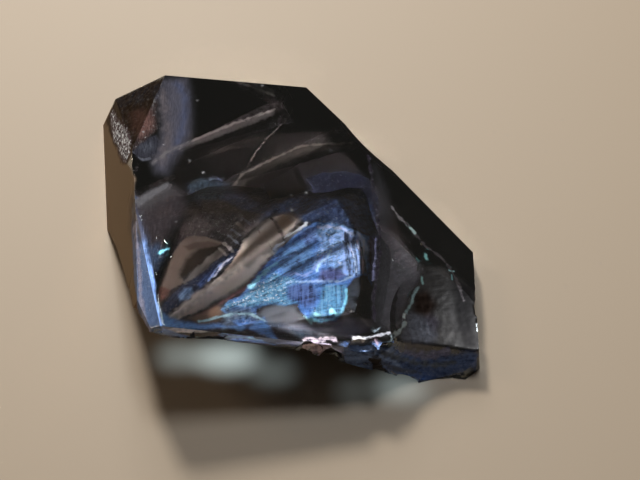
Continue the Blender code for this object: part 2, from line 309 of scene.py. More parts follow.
    "cyan_sparkle": Patch(UNDER, 0.4, (0.15, 0.405, 0.66), 1, 0.38, 1, (
        (-2.9, -7.7), (-2.3, -6.8), (-1.4, -6), (-0.5, -5.2), (0.7, -5.7), (1.4, -6), (0.4, -6.4),
        (0.4, -7.5), (1.2, -7.7), (0.3, -7.9), (-1.1, -8), (-2.2, -8.3), (-3.1, -8.3),
        (-4.2, -8.7), (-3.8, -8.1),
    ), sparkle=1.6),
    "lavender_crown": Patch(UNDER, 0.5, (0.3, 0.55, 1), 1, 0.42, 1, (
        (2.7, -1), (3.7, -0.4), (5, -0.8), (6, -1.3), (5.8, -3), (5.7, -4.7), (4.7, -5.1),
        (3.9, -4.7), (3.3, -4.2), (2.4, -4.8), (2.5, -3.2), (3, -2.3), (2.5, -1.9),
    ), lines=0.3, sparkle=1.5),
    "violet_lower": Patch(UNDER, 0.4, (0.128, 0.16, 0.4), 1, 0.42, 1, (
        (3, -4.8), (4.7, -4.6), (4.9, -5.2), (4, -5.7), (2.6, -6),
    ), lines=0.5, sparkle=0.6),
    "striations": Patch(UNDER, 0.25, (0.34, 0.56, 1), 1, 0.4, 1, (
        (4.4, -1.2), (5.2, -0.9), (6, -1.3), (6.4, -2.6), (6.2, -4.6), (5.1, -5.4), (4.5, -5),
        (4.6, -3.1),
    ), lines=1.6, sparkle=1),
    "lavender_side": Patch(UNDER, 0.2, (0.16, 0.16, 0.34), 1, 0.45, 1, (
        (6.3, -1.1), (7, -0.4), (7, -2.3), (6.8, -4.2), (6.6, -5.4), (6.5, -4.7), (6.4, -3.1),
    ), lines=1, sparkle=0.4),
    "cyan_foot": Patch(UNDER, 0.35, (0.114, 0.324, 0.556), 1, 0.38, 0.8, (
        (3, -6.1), (4.7, -5.9), (4.7, -7.1), (4.4, -8.3), (3.9, -8.9), (2.7, -9.1), (1.9, -9),
        (2.3, -8.3), (2.8, -7.4),
    ), lines=0.9, sparkle=0.9),
    # Painted highlight: a bright cyan line along the foot's rim.
    "foot_rim_highlight": Patch(UNDER, 0.08, (0.3, 0.8, 1), 1, 0.4, 0.3, (
        (2.06, -9.03), (2.84, -9.1), (3.71, -8.87), (4.37, -8.21), (4.67, -7.25), (4.75, -6.24),
    ), wide=0.07),
    # The four hot patches are painted highlights: small bright cyan glints.
    "hot_highlight_1": Patch(UNDER, 0.12, (0.45, 0.95, 1), 1, 0.4, 0, (
        (3.69, -8.27), (3.9, -8.42),
    ), wide=0.17),
    "hot_highlight_2": Patch(UNDER, 0.12, (0.45, 0.95, 1), 1, 0.4, 0, (
        (2.53, -8.51), (2.74, -8.66),
    ), wide=0.13),
    "hot_highlight_3": Patch(UNDER, 0.12, (0.45, 0.95, 1), 1, 0.4, 0, (
        (1.95, -9.11), (2.16, -9.24),
    ), wide=0.09),
    "hot_highlight_4": Patch(UNDER, 0.12, (0.45, 0.95, 1), 1, 0.4, 0, (
        (1.66, -8.82), (1.88, -8.97),
    ), wide=0.06),
    "cyan_slope": Patch(UNDER, 0.08, (0.35, 0.8, 1), 1, 0.4, 0.6, (
        (-2.27, -6.54), (-1.71, -5.75), (-1.14, -5.12), (-0.41, -4.39),
    ), sparkle=0.8, wide=0.14),
    "edge_glint": Patch(UNDER, 0.06, (0.92, 0.97, 1), 1, 0.4, 0.2, (
        (0.17, -2.27), (0.76, -1.78), (1.27, -1.37), (1.86, -0.78),
    ), wide=0.09),
    "edge_glint_2": Patch(UNDER, 0.06, (0.8, 0.86, 1), 1, 0.4, 0.2, (
        (-0.62, -3.39), (-0.26, -3), (0.17, -2.61),
    ), wide=0.09),
    "furrow_line_1": Patch(UNDER, 0.06, (0.02, 0.03, 0.1), 1, 0.45, 0.2, (
        (4.49, -1.98), (4.91, -3.04), (5.05, -4.07), (5, -4.9),
    ), wide=0.045),
    "furrow_line_2": Patch(UNDER, 0.06, (0.02, 0.03, 0.1), 1, 0.45, 0.2, (
        (4.8, -1.96), (5.17, -3.02), (5.31, -4.03), (5.25, -4.88),
    ), wide=0.045),
    "furrow_line_3": Patch(UNDER, 0.06, (0.02, 0.03, 0.1), 1, 0.45, 0.2, (
        (5.12, -1.97), (5.43, -3), (5.57, -4.02), (5.51, -4.86),
    ), wide=0.045),
    "furrow_line_4": Patch(UNDER, 0.06, (0.02, 0.03, 0.1), 1, 0.45, 0.2, (
        (5.44, -1.99), (5.69, -2.98), (5.83, -3.99), (5.77, -4.83),
    ), wide=0.045),
    "furrow_line_5": Patch(UNDER, 0.06, (0.02, 0.03, 0.1), 1, 0.45, 0.2, (
        (5.76, -2.02), (5.95, -2.94), (6.07, -3.89), (6.02, -4.75),
    ), wide=0.045),
    "bright_line_1": Patch(UNDER, 0.06, (0.75, 0.85, 1), 1, 0.4, 0.2, (
        (4.85, -2.3), (5.24, -3.1), (5.45, -4.02), (5.51, -4.86),
    ), wide=0.05),
    "bright_line_2": Patch(UNDER, 0.06, (0.7, 0.72, 1), 1, 0.4, 0.2, (
        (5.53, -1.99), (5.85, -2.98), (5.97, -3.95), (5.95, -4.79),
    ), wide=0.05),
    "crown_top": Patch(UNDER, 0.1, (0.55, 0.68, 1), 1, 0.4, 0.6, (
        (2.67, -1.07), (3.56, -0.81), (4.45, -0.84), (5.2, -1.34),
    ), sparkle=0.9, wide=0.12),
    "cross_line": Patch(UNDER, 0.08, (0.45, 0.65, 0.95), 1, 0.4, 0.5, (
        (0.37, -6.1), (1.39, -5.95), (2.71, -5.85), (4.32, -5.72), (5.21, -5.21),
    ), sparkle=0.6, wide=0.06),
    "wave_1": Patch(UNDER, 0.08, (0.3, 0.42, 0.8), 1, 0.4, 0.5, (
        (0.35, -5.48), (0.94, -5.19), (1.53, -5.52), (2.12, -5.16), (2.71, -4.24), (2.98, -3.43),
    ), sparkle=0.6, wide=0.07),
    "wave_2": Patch(UNDER, 0.08, (0.5, 0.8, 1), 1, 0.4, 0.5, (
        (2.57, -4.97), (2.86, -4.24), (3.3, -3.85), (3.57, -3.02),
    ), sparkle=0.9, wide=0.09),
    # The window patches paint the floor seen through the front of the crystal: grey, and lighter
    # towards the right.
    "window": Patch(UNDER, 0.5, (0.08, 0.088, 0.104), 0.97, 0.4, 0.1, (
        (-1.3, -8.3), (-0.4, -8), (1, -8), (1.5, -8.7), (2, -9.3), (1.4, -9.7), (-0.6, -9.5),
        (-1.6, -8.9),
    )),
    "window_light": Patch(UNDER, 0.9, (0.487, 0.495, 0.589), 0.97, 0.45, 0.2, (
        (1.4, -9.3), (2.8, -9.5), (3.9, -9.2), (4.6, -8.6), (5.4, -8.6), (6.5, -8), (6.5, -9.3),
        (5.1, -9.9), (3.5, -10), (1.4, -10.2), (-0, -9.9),
    )),
    # Painted shade: a dark patch that keeps the lamps' reflection out of this notch.
    "dark_notch": Patch(UNDER, 0.3, (0.02, 0.025, 0.035), 0.9, 0.4, 0.6, (
        (4.8, -7.4), (4.9, -6.2), (5.4, -5.5), (6.1, -5.1), (6.5, -5.6), (6.4, -7), (5.2, -8.1),
    )),
    "blue_foot": Patch(UNDER, 0.8, (0.114, 0.169, 0.257), 0.95, 0.42, 1, (
        (-4, -8.6), (-2.2, -8.4), (-1.6, -9.2), (-0.4, -9.6), (1.4, -9.9), (2.7, -10.3),
        (1.9, -11), (0.5, -9.8), (-1.2, -9.6), (-2.7, -9.2), (-4.1, -10.2),
    ), lines=0.4, sparkle=0.6),
    "foot": Patch(UNDER, 0.4, (0.085, 0.216, 0.494), 0.95, 0.42, 0.8, (
        (-8.2, -9.7), (-6.7, -10.1), (-4.3, -9.9), (-2.8, -10.3), (-1.2, -9.1), (-0.2, -11.1),
        (-2.7, -9.8), (-6.2, -10.5), (-8.7, -10.9),
    ), sparkle=0.4),
    # Painted highlight: a light cyan line along the bottom edge.
    "foot_highlight_line": Patch(UNDER, 0.1, (0.3, 0.48, 0.55), 1, 0.4, 0.6, (
        (-5.79, -9.84), (-4.48, -9.33), (-3.28, -8.91), (-2.15, -8.86), (-1.15, -9.35),
    ), sparkle=0.5, wide=0.08),
    "front_wall": Patch(UNDER, 0.15, (0.03, 0.04, 0.062), 1, 0.45, 0.8, (
        (-9.2, -11), (-7.9, -11.08), (-5.5, -11.14), (-2.7, -11.22), (0.1, -11.3), (1.2, -11.3),
    ), sparkle=0.3, wide=0.15),
    "sparkle_a": Patch(UNDER, 0.9, (0.049, 0.082, 0.114), 1, 0.4, 1, (
        (-7.8, 3.5), (-6.9, 4), (-5.7, 3.9), (-4.8, 3.5), (-4.8, 1.6), (-5.9, 1.1), (-7.1, 1.2),
    ), sparkle=0.8),
    "haze_b": Patch(UNDER, 0.7, (0.06, 0.08, 0.16), 1, 0.45, 1, (
        (-9.9, -3.9), (-9.2, -3.6), (-8.7, -4.2), (-9.1, -5), (-9.5, -5.2),
    ), sparkle=0.5),
    "lavender_band": Patch(OVER, 1.3, (0.032, 0.031, 0.04), 0.8, 0.5, 0.3, (
        (-9.2, 10.4), (-7.4, 10.8), (-7, 8.3), (-6.9, 6.1), (-7.2, 4.8), (-7.8, 3.4), (-8.4, 1.9),
        (-9.1, 1.8), (-9.4, 2.8), (-9, 4.5), (-8.7, 6.4),
    )),
    "lavender_core": Patch(OVER, 0.9, (0.046, 0.04, 0.044), 0.8, 0.5, 0.3, (
        (-9.19, 9.2), (-8.75, 6.6), (-8.49, 4.77), (-8.9, 2.88),
    ), wide=0.25),
    "lavender_blue": Patch(OVER, 0.9, (0.03, 0.034, 0.056), 0.8, 0.5, 0.3, (
        (-7.96, 10.15), (-7.44, 9.07), (-7.4, 6.41), (-7.68, 4.7),
    ), wide=0.22),
    "band_line": Patch(OVER, 0.35, (0.05, 0.046, 0.048), 1, 0.5, 0.1, (
        (-9.47, 2.54), (-8.57, 3.57), (-7.73, 4.27), (-6.81, 4.91),
    ), wide=0.1),
    # Painted shade in the small chip's hollow. The glow and rim patches after it paint its lighter
    # inside and rim.
    "chip_hollow": Patch(OVER, 0.25, (0.01, 0.01, 0.013), 1, 0.4, 0.3, (
        (-10.9, 3.3), (-10.7, 4.1), (-10.1, 4.7), (-9.4, 5.2), (-9.1, 4.5), (-9.2, 3.6), (-9.8, 3),
        (-10.5, 2.9),
    )),
    "chip_hollow_glow": Patch(OVER, 0.5, (0.018, 0.019, 0.024), 1, 0.45, 0.4, (
        (-10.6, 3.9), (-9.7, 4.5), (-9.4, 4), (-10.1, 3.4),
    )),
    "chip_hollow_rim": Patch(OVER, 0.1, (0.026, 0.027, 0.033), 1, 0.45, 0.3, (
        (-10.97, 3.38), (-10.65, 2.96), (-10.13, 2.81), (-9.64, 2.97),
    ), wide=0.09),
    # The left face's tan is the floor seen through it, painted into the film's colour.
    "left_face": Patch(OVER, 0.16, (0.085, 0.06, 0.042), 1, 0.3, 0, (
        (-13.7, 11.3), (-13.1, 8), (-12.1, 5), (-11.5, 3.3), (-11.1, 2.4), (-10.8, 1.7),
        (-10.6, 1), (-10.6, -1.1), (-10.4, -2.1), (-10.2, -4), (-10, -5.3), (-10, -7.5),
        (-9.9, -8.5), (-9.6, -9.3), (-9.2, -10.2), (-8.7, -11.3), (-12, -12.5), (-16, -3),
        (-16.5, 11.5),
    )),
    "left_face_shade": Patch(OVER, 0.9, (0.06, 0.036, 0.023), 1, 0.3, 0, (
        (-14.75, 11), (-14.3, 6), (-13.4, 0), (-11.2, -6.6), (-9.7, -10.4),
    ), wide=0.22),
    "corner_chip": Patch(OVER, 0.2, (0.016, 0.012, 0.012), 1, 0.5, 0.8, (
        (-13.9, 11), (-13.2, 10.9), (-12.2, 10.9), (-10.1, 10.8), (-9.1, 10.7), (-9.4, 9.2),
        (-9.4, 8), (-9.6, 6.7), (-9.3, 5.8), (-9.8, 5), (-10.6, 3.9), (-11.1, 3.3), (-11.5, 3.3),
        (-12.1, 4.4), (-13.4, 8), (-14.4, 11),
    ), sparkle=0.4),
    "chip_blush": Patch(OVER, 1, (0.055, 0.03, 0.026), 1, 0.55, 0.6, (
        (-11.6, 8.3), (-10.6, 8), (-9.7, 6.8), (-9.7, 5.7), (-10.5, 4.7), (-11.3, 6.2),
    ), sparkle=0.2),
    "chip_back": Patch(OVER, 0.6, (0.016, 0.016, 0.021), 1, 0.5, 0.8, (
        (-13.3, 10.9), (-11.5, 10.8), (-9.3, 10.2), (-9.4, 8.4), (-10.4, 8.8), (-11.8, 9.3),
        (-12.8, 9.6),
    ), sparkle=0.4),
    "chip_sparkle": Patch(OVER, 0.35, (0.09, 0.06, 0.065), 1, 0.85, 1, (
        (-13.9, 10.9), (-13.5, 10.6), (-12.8, 8.7), (-11.7, 6.4), (-11.2, 4.7), (-11.2, 3.6),
        (-11.7, 3.6), (-12.3, 4.9), (-13.4, 8.2),
    ), sparkle=2.2),
    # The left bevel's blue is the film's colour with a painted reflection of bluish light in it,
    # and the bevel streak is a painted highlight.
    "left_bevel": Patch(OVER, 0.15, (0.125, 0.202, 0.398), 1, 0.45, 0.5, (
        (-10.7, -0.8), (-10.2, -2.1), (-9.7, -3.6), (-9.2, -5.4), (-8.8, -7), (-8.5, -9),
        (-8, -11), (-8.1, -11.1), (-8.9, -11), (-9.8, -9.4), (-10.3, -7), (-10.6, -4.3),
        (-10.8, -2.3),
    ), sparkle=0.5),
    "bevel_top": Patch(OVER, 1, (0.05, 0.05, 0.07), 1, 0.45, 0.5, (
        (-10.9, 0), (-9.9, -1.9), (-9.5, -4), (-10.1, -4.5), (-10.9, -2.1),
    ), sparkle=0.3),
    "bevel_highlight_streak": Patch(OVER, 0.2, (0.3, 0.33, 0.495), 1, 0.42, 0.6, (
        (-10.47, -2.72), (-10.1, -4.91), (-9.86, -6.64), (-9.7, -8.48), (-9.43, -9.88),
        (-8.99, -10.95),
    ), sparkle=0.8, wide=0.12),
    # Painted shade: a partial dark film that darkens what shows through the right part.
    "right_shade_film": Patch(OVER, 1.3, (0.035, 0.034, 0.038), 0.5, 0.5, 0.3, (
        (7.1, 4.6), (8, 2.4), (8.2, 0.6), (8, -1.6), (8.4, -3.6), (9.4, -4.3), (9.9, -5.2),
        (9.4, -6.7), (9, -8.7), (7.5, -9.8), (7, -9.4), (6.9, -7.4), (7.2, -4.8), (7.5, -2.2),
        (7.3, 0),
    )),
    "lobe": Patch(OVER, 0.9, (0.098, 0.095, 0.095), 1, 0.45, 0.3, (
        (8.7, -9.9), (8.9, -8.1), (9.2, -6.9), (9.7, -5.6), (10.3, -4.5), (11.1, -3.9),
        (12.2, -3.8), (13.2, -4.6), (14.1, -5.5), (14.5, -5.6), (14.4, -10.1), (11.7, -10.1),
        (9.1, -10.5),
    ), sparkle=0.1),
    "lobe_blotch": Patch(OVER, 0.8, (0.13, 0.119, 0.151), 1, 0.4, 0.4, (
        (9.8, -8.1), (10.9, -7.4), (11.6, -8.1), (11.2, -9.3), (10.2, -9.2),
    )),
    "lobe_right": Patch(OVER, 1.2, (0.024, 0.023, 0.024), 1, 0.5, 0.2, (
        (12.8, -4), (14.1, -4.8), (14.5, -5.1), (14.5, -10.1), (13.3, -10.2), (12.9, -8.6),
        (12.6, -6.2),
    )),
    "lobe_left": Patch(OVER, 0.8, (0.149, 0.157, 0.19), 1, 0.45, 0.5, (
        (8.7, -10.4), (9, -8.7), (9.5, -7.7), (10.6, -7.9), (11.4, -9.1), (10.9, -10.1),
        (9.3, -10.4),
    ), sparkle=0.2),
    "lobe_brown": Patch(OVER, 0.8, (0.05, 0.034, 0.028), 1, 0.4, 0.4, (
        (9.8, -6.1), (10.8, -5.7), (11.5, -6.7), (10.9, -7.7), (9.8, -7.6),
    )),
    "wall": Patch(OVER, 0.35, (0.077, 0.126, 0.3), 1, 0.35, 1, (
        (4.7, -11), (6.6, -11), (8.7, -10.6), (11.7, -10.2), (14.5, -10.2), (14.4, -10.8),
        (10.9, -11.5), (6.7, -11.6), (4.9, -11.5),
    ), sparkle=0.4),
    "wall_blue": Patch(OVER, 0.4, (0.336, 0.504, 0.974), 1, 0.38, 1, (
        (4.7, -11.4), (5.5, -11.4), (6.5, -11.5), (6.3, -11.5), (5.2, -11.5),
    ), sparkle=1),
    "wall_left": Patch(OVER, 0.5, (0.198, 0.294, 0.54), 1, 0.38, 1, (
        (4.4, -11.2), (5.8, -11), (8.1, -10.8), (8.8, -11.2), (6.7, -11.6), (4.8, -11.5),
    ), sparkle=0.9),
    "wall_streak_1": Patch(OVER, 0.15, (0.16, 0.18, 0.32), 1, 0.4, 0.8, (
        (9.11, -10.58), (10.23, -10.47), (11.34, -10.31), (12.28, -10.13),
    ), sparkle=0.6, wide=0.12),
    "wall_streak_2": Patch(OVER, 0.15, (0.1, 0.13, 0.2), 1, 0.4, 0.8, (
        (7.24, -11.21), (8.74, -10.88), (10.64, -10.77), (12.85, -10.59),
    ), sparkle=0.5, wide=0.1),
    "wall_streak_3": Patch(OVER, 0.15, (0.08, 0.1, 0.16), 1, 0.4, 0.8, (
        (6.69, -11.54), (8.4, -11.36), (10.3, -11.16),
    ), sparkle=0.5, wide=0.08),
    "seam_line": Patch(OVER, 0.12, (0.019, 0.016, 0.021), 1, 0.45, 0.5, (
        (6.65, 5.4), (6.91, 3.18), (7.09, 0.92), (7.36, -1.29), (7.38, -3.05), (7.04, -5.26),
        (6.78, -7.23), (6.83, -9.04),
    ), sparkle=0.3, wide=0.12),
    "seam_light": Patch(OVER, 0.08, (0.084, 0.084, 0.14), 1, 0.45, 0.5, (
        (7.04, -2.05), (7.01, -3.53), (6.83, -4.68), (6.81, -5.71),
    ), sparkle=0.5, wide=0.08),
    # The diagonal patches paint a highlight line along the diagonal edge.
    "diagonal_edge_highlight": Patch(OVER, 0.08, (0.106, 0.095, 0.101), 1, 0.45, 0.5, (
        (8.32, 1.02), (8.83, 0.19), (9.72, -0.73), (10.74, -2.04), (11.94, -2.74), (12.66, -3.65),
        (13.21, -4.95), (13.54, -6.15),
    ), sparkle=0.4, wide=0.11),
    "diagonal_start_highlight": Patch(OVER, 0.06, (0.12, 0.11, 0.11), 1, 0.45, 0.4, (
        (8.46, 0.76), (8.9, 0.11), (9.27, -0.19),
    ), sparkle=0.4, wide=0.05),
    "glint_1": Patch(OVER, 0.08, (0.75, 1, 1), 1, 0.4, 0, (
        (9.72, -0.73), (10.01, -1.03),
    ), wide=0.13),
    "glint_2": Patch(OVER, 0.08, (0.6, 0.95, 1), 1, 0.4, 0.2, (
        (12.58, -3.85), (12.88, -3.86),
    ), wide=0.1),
    "glint_2b": Patch(OVER, 0.08, (0.3, 0.6, 0.65), 1, 0.4, 0.2, (
        (12.71, -4.17), (12.76, -4.61),
    ), wide=0.07),
    "glint_3": Patch(OVER, 0.06, (0.45, 0.95, 0.95), 1, 0.4, 0.2, (
        (10.79, -2.76), (10.84, -3.2),
    ), wide=0.09),
    "glint_4": Patch(OVER, 0.06, (0.09, 0.21, 0.21), 1, 0.4, 0.2, (
        (10.08, -3.36), (10.22, -3.52),
    ), wide=0.06),
    "glint_5": Patch(OVER, 0.06, (0.21, 0.24, 0.252), 1, 0.4, 0.2, (
        (8.27, -3.62), (8.34, -3.87),
    ), wide=0.05),
    # The ridge patches are painted highlights: light lines and glints along the curved ridge of
    # the break.
    "ridge_highlight_1": Patch(OVER, 0.08, (0.6, 1, 1), 1, 0.4, 0.3, (
        (10.4, -4.84), (10.48, -5.26),
    ), wide=0.1),
    "ridge_highlight_2": Patch(OVER, 0.08, (0.432, 0.605, 0.633), 1, 0.42, 0.6, (
        (10.17, -5.63), (9.85, -6.08), (9.69, -6.64), (9.53, -7.16), (9.21, -7.79),
    ), sparkle=0.6, wide=0.09),
    "ridge_highlight_3": Patch(OVER, 0.08, (0.12, 0.144, 0.144), 1, 0.42, 0.6, (
        (9.56, -6.08), (9.32, -6.52),
    ), wide=0.07),
    "ridge_highlight_4": Patch(OVER, 0.08, (0.85, 0.97, 1), 1, 0.4, 0.2, (
        (9.06, -8.01), (9.04, -8.25),
    ), wide=0.09),
    "ridge_highlight_5": Patch(OVER, 0.1, (0.484, 0.577, 0.608), 1, 0.42, 0.7, (
        (9.11, -8.63), (8.87, -9.12), (8.48, -9.68), (8.09, -10.19),
    ), sparkle=1, wide=0.13),
    "ridge_highlight_6": Patch(OVER, 0.1, (0.12, 0.156, 0.168), 1, 0.42, 0.7, (
        (8.17, -9.98), (8.01, -10.59), (7.81, -10.74),
    ), sparkle=0.4, wide=0.1),
    "ridge_highlight_7": Patch(OVER, 0.08, (0.64, 0.64, 0.688), 1, 0.42, 0.5, (
        (7.89, -9.9), (7.23, -10.14), (6.58, -10.37), (6, -10.59),
    ), sparkle=0.8, wide=0.08),
    "ridge_highlight_8": Patch(OVER, 0.08, (0.95, 0.92, 0.95), 1, 0.42, 0.4, (
        (5.29, -10.65), (5.65, -10.54), (6, -10.66),
    ), sparkle=0.8, wide=0.11),
    "ridge_highlight_9": Patch(OVER, 0.08, (0.24, 0.288, 0.33), 1, 0.42, 0.5, (
        (6.8, -9.94), (7.17, -9.58),
    ), wide=0.07),
    "ridge_highlight_10": Patch(OVER, 0.08, (0.62, 0.45, 0.55), 1, 0.42, 0.3, (
        (6.86, -10.65), (7, -10.96),
    ), wide=0.07),
    # The front edge patches are painted highlights and glints on the jagged front edge.
    "front_edge_highlights": Patch(OVER, 0.12, (0.78, 0.65, 0.728), 1, 0.42, 1, (
        (1.88, -11.1), (2.24, -10.92), (2.82, -11.14), (3.31, -10.85), (3.94, -10.8),
    ), sparkle=1.2, wide=0.14),
    "front_edge_highlights_2": Patch(OVER, 0.12, (0.65, 0.546, 0.676), 1, 0.42, 1, (
        (2.31, -11.25), (2.95, -11.33), (3.66, -11.35),
    ), sparkle=1, wide=0.1),
    # Painted shade: partial dark films that darken what shows through the left part.
    "left_shade_film": Patch(OVER, 1.3, (0.03, 0.024, 0.027), 0.4, 0.5, 0.4, (
        (-10.5, -1.4), (-9.4, -0.2), (-8.2, 0.6), (-7.3, 0), (-6.8, -0.9), (-7.3, -2.2),
        (-8, -3.3), (-8.6, -4.6), (-9, -5.1), (-9.5, -4), (-10, -2.7),
    ), sparkle=0.3),
    "step_3_shade_film": Patch(OVER, 1, (0.034, 0.031, 0.033), 0.6, 0.5, 0.2, (
        (-10.4, -1.1), (-9.3, -0), (-8.1, 0.8), (-7.4, 0.2), (-8.7, -0.9), (-9.9, -1.8),
    )),
    "left_blue": Patch(OVER, 0.9, (0.03, 0.045, 0.08), 0.5, 0.45, 0.8, (
        (-9.4, -4.7), (-8.6, -4.3), (-8.2, -5.1), (-8.7, -6.3), (-9.1, -6),
    ), sparkle=0.6),
    # Painted glint: a short cyan line.
    "left_cyan_glint": Patch(OVER, 0.15, (0.16, 0.42, 0.52), 1, 0.45, 0.4, (
        (-8.52, -5.13), (-8.18, -4.88), (-7.91, -4.68),
    ), wide=0.09),
    "step_3_line": Patch(OVER, 0.3, (0.045, 0.043, 0.046), 1, 0.5, 0.3, (
        (-10.6, -0.8), (-9.5, 0.1), (-8.3, 1), (-8, 0.7), (-9.2, -0.4), (-10.2, -1.4),
    )),
    "speck_1": Patch(OVER, 0.1, (0.12, 0.117, 0.12), 1, 0.5, 0, (
        (-5.76, 2.21), (-5.71, 2.2),
    ), wide=0.06),
    "speck_2": Patch(OVER, 0.1, (0.068, 0.066, 0.068), 1, 0.5, 0, (
        (-6.82, 3.16), (-6.78, 3.15),
    ), wide=0.06),
    "speck_3": Patch(OVER, 0.1, (0.165, 0.161, 0.165), 1, 0.5, 0, (
        (-8.79, 4.36), (-8.74, 4.35),
    ), wide=0.06),
    "speck_4": Patch(OVER, 0.1, (0.15, 0.146, 0.15), 1, 0.5, 0, (
        (-10.22, 8.84), (-10.16, 8.77),
    ), wide=0.06),
    "speck_5": Patch(OVER, 0.1, (0.105, 0.102, 0.105), 1, 0.5, 0, (
        (-10.32, 5.35), (-10.27, 5.34),
    ), wide=0.06),
    "speck_6": Patch(OVER, 0.1, (0.075, 0.073, 0.075), 1, 0.5, 0, (
        (-1.59, 11.01), (-1.54, 11),
    ), wide=0.06),
    "speck_7": Patch(OVER, 0.1, (0.06, 0.058, 0.06), 1, 0.5, 0, (
        (-2.9, 10.91), (-2.85, 10.9),
    ), wide=0.06),
    "speck_8": Patch(OVER, 0.1, (0.09, 0.088, 0.09), 1, 0.5, 0, (
        (-7.49, -2.33), (-7.45, -2.34),
    ), wide=0.06),
    "speck_9": Patch(OVER, 0.1, (0.165, 0.161, 0.165), 1, 0.5, 0, (
        (0.77, 0.98), (0.82, 0.97),
    ), wide=0.06),
    "speck_10": Patch(OVER, 0.1, (0.12, 0.117, 0.12), 1, 0.5, 0, (
        (1.88, 1.39), (1.93, 1.38),
    ), wide=0.06),
    "speck_11": Patch(OVER, 0.1, (0.098, 0.095, 0.098), 1, 0.5, 0, (
        (0.78, -0.27), (0.83, -0.28),
    ), wide=0.06),
    "speck_12": Patch(OVER, 0.1, (0.135, 0.131, 0.135), 1, 0.5, 0, (
        (8.24, -3.62), (8.29, -3.63),
    ), wide=0.06),
    "speck_13": Patch(OVER, 0.1, (0.045, 0.044, 0.045), 1, 0.5, 0, (
        (-6.49, 8.82), (-6.44, 8.81),
    ), wide=0.06),
    "speck_14": Patch(OVER, 0.1, (0.075, 0.073, 0.075), 1, 0.5, 0, (
        (-4.28, 1.86), (-4.23, 1.85),
    ), wide=0.06),
    "speck_15": Patch(OVER, 0.1, (0.038, 0.036, 0.038), 1, 0.5, 0, (
        (3.69, 5.5), (3.74, 5.49),
    ), wide=0.06),
}


def gap_to(points, outline, closed):
    """How far each point is from an outline."""
    ring = np.array(outline)
    nearest = np.full(len(points), np.inf)
    for a, b in zip(ring, np.roll(ring, -1, axis=0) if closed else ring[1:]):
        way = b - a
        along = ((points - a) @ way / (way @ way)).clip(0, 1)
        gap = np.linalg.norm(points - a - along[:, None] * way, axis=1)
        nearest = np.minimum(nearest, gap)
    return nearest


for _ in range(ROUNDS):
    bpy.ops.mesh.select_mode(type="EDGE")
    bpy.ops.mesh.select_all(action="DESELECT")
    body = bmesh.from_edit_mesh(crystal.data)
    kind = body.faces.layers.int["kind"]
    edges = [edge for edge in body.edges if edge.calc_length() > AT_EDGE * MM]
    ends = np.array([[vert.co for vert in edge.verts] for edge in edges]) / MM
    middle, length = ends.mean(axis=1)[:, :2], np.linalg.norm(ends[:, 0] - ends[:, 1], axis=1)
    allowed = np.array([min(FINE[face[kind]] for face in edge.link_faces) for edge in edges])
    on_side = np.array([
        any(face[kind] == GROWTH or face.normal.z > LOOKS_UP for face in edge.link_faces)
        for edge in edges
    ])
    for patch in PATCHES.values():
        reach = patch.wide + patch.soft / 2 + length / 2
        ring = np.array(patch.outline)
        close = (middle > ring.min(axis=0) - 1.0).all(axis=1)
        close &= (middle < ring.max(axis=0) + 1.0).all(axis=1) & (on_side == patch.side)
        near = np.nonzero(close)[0]
        if len(near) and patch.soft < SHORT_FADE[patch.side]:
            gap = gap_to(middle[near], patch.outline, not patch.wide)
            allowed[near[gap < reach[near]]] = AT_EDGE
    for edge, long in zip(edges, length > allowed):
        edge.select_set(bool(long))
    bpy.ops.mesh.subdivide(number_cuts=1)
    bpy.ops.mesh.select_mode(type="FACE")
    bpy.ops.mesh.select_all(action="DESELECT")
    body = bmesh.from_edit_mesh(crystal.data)
    kind = body.faces.layers.int["kind"]
    for face in body.faces:
        face.select_set(True)
    bpy.ops.mesh.quads_convert_to_tris(quad_method="SHORTEST_DIAGONAL")
    bpy.ops.mesh.beautify_fill(angle_limit=math.radians(NEARLY_COPLANAR))

# Most of the broken surface is smooth, like the inside of a shell.
body = bmesh.from_edit_mesh(crystal.data)
kind = body.faces.layers.int["kind"]
bpy.ops.mesh.select_mode(type="VERT")
bpy.ops.mesh.select_all(action="DESELECT")
for vert in body.verts:
    vert.select_set(all(face[kind] == BROKEN for face in vert.link_faces))
bpy.ops.mesh.vertices_smooth(factor=0.5, repeat=12)
bpy.ops.object.mode_set(mode="OBJECT")

# The finish where no patch lies: colour, sparkle, film, roughness, grain, lines. The base's
# near-black film is painted shade, the shade of the floor under the crystal. The broken
# underside's dark film is the coating, and it is also painted shade where the break would mirror
# the lamps.
BARE_FACE = (0.02, 0.02, 0.02, 0, 0, 0.3, 0, 0)
BASE_PAINTED_SHADE = (0.010, 0.009, 0.009, 0, 1, 0.12, 0.1, 0)
BROKEN_FILM_AND_SHADE = (0.035, 0.03, 0.033, 0.4, 1.0, 0.42, 0.7, 0)
FILM, GRAIN = 4, 6
NO_FILM = 0.05
SPREAD = 0.4


def depth_in(points, patch, uneven):
    """How deep each point lies in a patch, in millimetres. It is negative outside."""
    gap = gap_to(points, patch.outline, not patch.wide)
    if patch.wide:
        return patch.wide * (0.35 + 1.3 * uneven) - gap
    ring = np.array(patch.outline)
    inside = np.zeros(len(points), bool)
    for a, b in zip(ring, np.roll(ring, -1, axis=0)):
        crosses = (a[1] > points[:, 1]) != (b[1] > points[:, 1])
        rise = b[1] - a[1] if b[1] != a[1] else 1e-9
        at_x = a[0] + (b[0] - a[0]) * (points[:, 1] - a[1]) / rise
        inside ^= crosses & (points[:, 0] < at_x)
    return np.where(inside, gap, -gap)


def fade(share):
    """A share that starts and ends gently."""
    share = share.clip(0, 1)
    return share * share * (3 - 2 * share)


